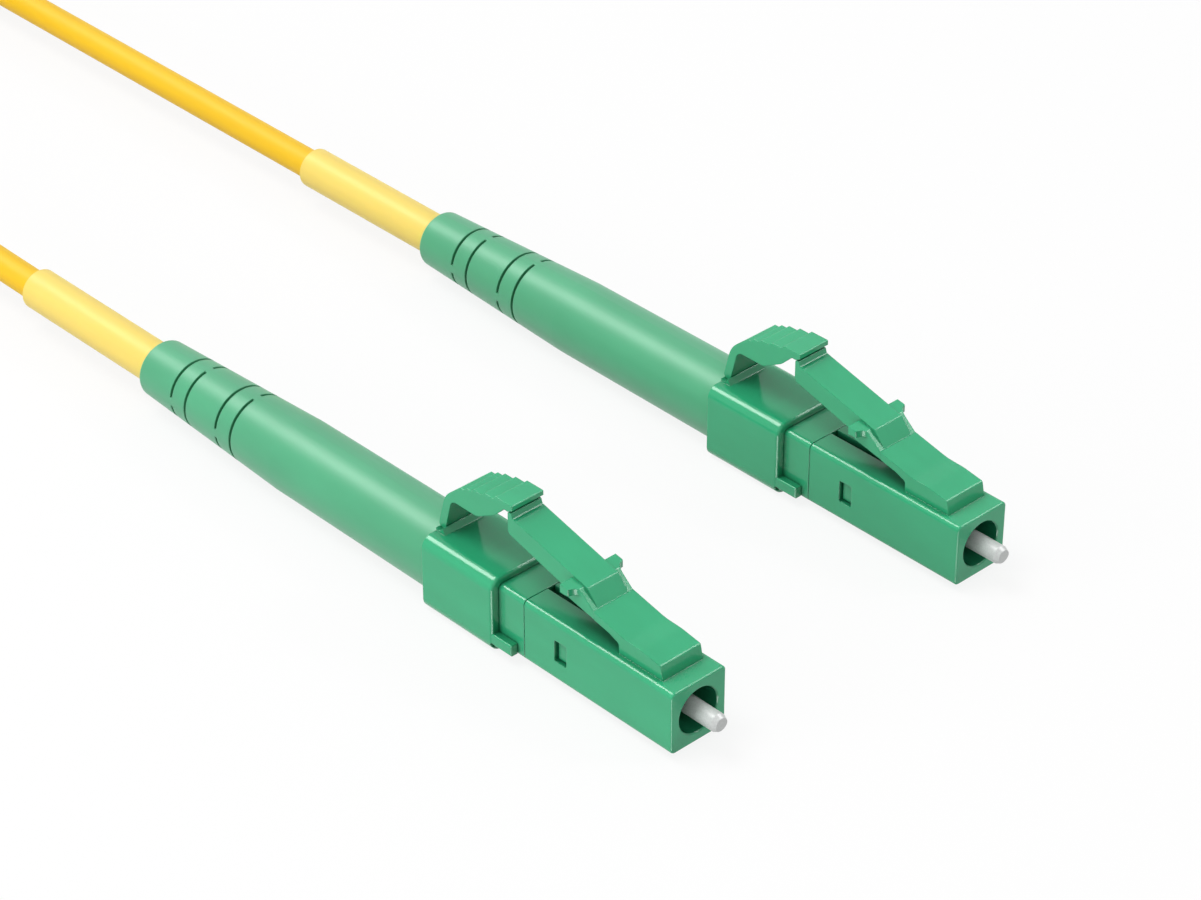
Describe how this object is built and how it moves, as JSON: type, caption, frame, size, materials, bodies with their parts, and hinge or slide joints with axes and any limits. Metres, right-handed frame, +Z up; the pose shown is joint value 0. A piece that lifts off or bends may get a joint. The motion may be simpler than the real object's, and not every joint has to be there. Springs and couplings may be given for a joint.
{
  "type": "fibre patch cord",
  "caption": "Single-fibre patch cord with a small square plug, sprung ferrule, latch and release trigger on each end.",
  "frame": {"origin": "bottom centre of the two plugs with their boots and sleeves, on the surface they lie on", "axes": "+X is the way the plugs are pushed in, +Y from plug a to plug b, +Z up"},
  "size_m": [0.1438, 0.0318, 0.0105],
  "materials": {
    "green_plastic": "satin moulding",
    "green_rubber": "matt soft moulding",
    "black_plastic": "matt black",
    "steel": "plain metal",
    "zirconia": "polished white ceramic",
    "pale_sleeve": "pale yellow tubing",
    "yellow_jacket": "satin yellow jacket",
    "aramid": "aramid yarn",
    "buffer": "white tight buffer"
  },
  "bodies": {
    "cord": {"front_housing_a": "green_plastic", "rear_body_a": "green_plastic", "inner_barrel_a": "black_plastic", "clip_collar_a": "green_plastic", "buffered_fibre_a": "buffer", "strength_yarn_a": "aramid", "crimp_sleeve_a": "steel", "strain_boot_a": "green_rubber", "cable_sleeve_a": "pale_sleeve", "cable_end_a": "yellow_jacket", "ferrule_spring_a": "steel", "front_housing_b": "green_plastic", "rear_body_b": "green_plastic", "inner_barrel_b": "black_plastic", "clip_collar_b": "green_plastic", "buffered_fibre_b": "buffer", "strength_yarn_b": "aramid", "crimp_sleeve_b": "steel", "strain_boot_b": "green_rubber", "cable_sleeve_b": "pale_sleeve", "cable_end_b": "yellow_jacket", "ferrule_spring_b": "steel", "cable_tube_a": "yellow_jacket", "cable_tube_b": "yellow_jacket", "cable_coil": "yellow_jacket"},
    "latch_a": {"latch_lever_a": "green_plastic"},
    "trigger_a": {"clip_trigger_a": "green_plastic"},
    "ferrule_group_a": {"ferrule_a": "zirconia", "ferrule_flange_a": "steel"},
    "latch_b": {"latch_lever_b": "green_plastic"},
    "trigger_b": {"clip_trigger_b": "green_plastic"},
    "ferrule_group_b": {"ferrule_b": "zirconia", "ferrule_flange_b": "steel"}
  },
  "joints": [
    {"name": "trigger_press_a", "type": "hinge", "parent": "cord", "child": "trigger_a", "pos_m": [0.01045, -0.0125, 0.00594], "axis": [0, 1, 0], "range_deg": [0, 8], "stiffness_Nm_per_rad": 0.05},
    {"name": "latch_flex_a", "type": "hinge", "parent": "cord", "child": "latch_a", "pos_m": [0.02645, -0.0125, 0.00622], "axis": [0, 1, 0], "range_deg": [-9, 0], "stiffness_Nm_per_rad": 0.05},
    {"name": "ferrule_float_a", "type": "slide", "parent": "cord", "child": "ferrule_group_a", "axis": [1, 0, 0], "range_m": [-0.001, 0], "stiffness_N_per_m": 500, "deforming": ["ferrule_spring_a"]},
    {"name": "trigger_press_b", "type": "hinge", "parent": "cord", "child": "trigger_b", "pos_m": [0.01045, 0.0125, 0.00594], "axis": [0, 1, 0], "range_deg": [0, 8], "stiffness_Nm_per_rad": 0.05},
    {"name": "latch_flex_b", "type": "hinge", "parent": "cord", "child": "latch_b", "pos_m": [0.02645, 0.0125, 0.00622], "axis": [0, 1, 0], "range_deg": [-9, 0], "stiffness_Nm_per_rad": 0.05},
    {"name": "ferrule_float_b", "type": "slide", "parent": "cord", "child": "ferrule_group_b", "axis": [1, 0, 0], "range_m": [-0.001, 0], "stiffness_N_per_m": 500, "deforming": ["ferrule_spring_b"]}
  ],
  "couplings": [
    {"joint": "latch_flex_a", "follows": "trigger_press_a", "ratio": -1.1},
    {"joint": "latch_flex_b", "follows": "trigger_press_b", "ratio": -1.1}
  ]
}
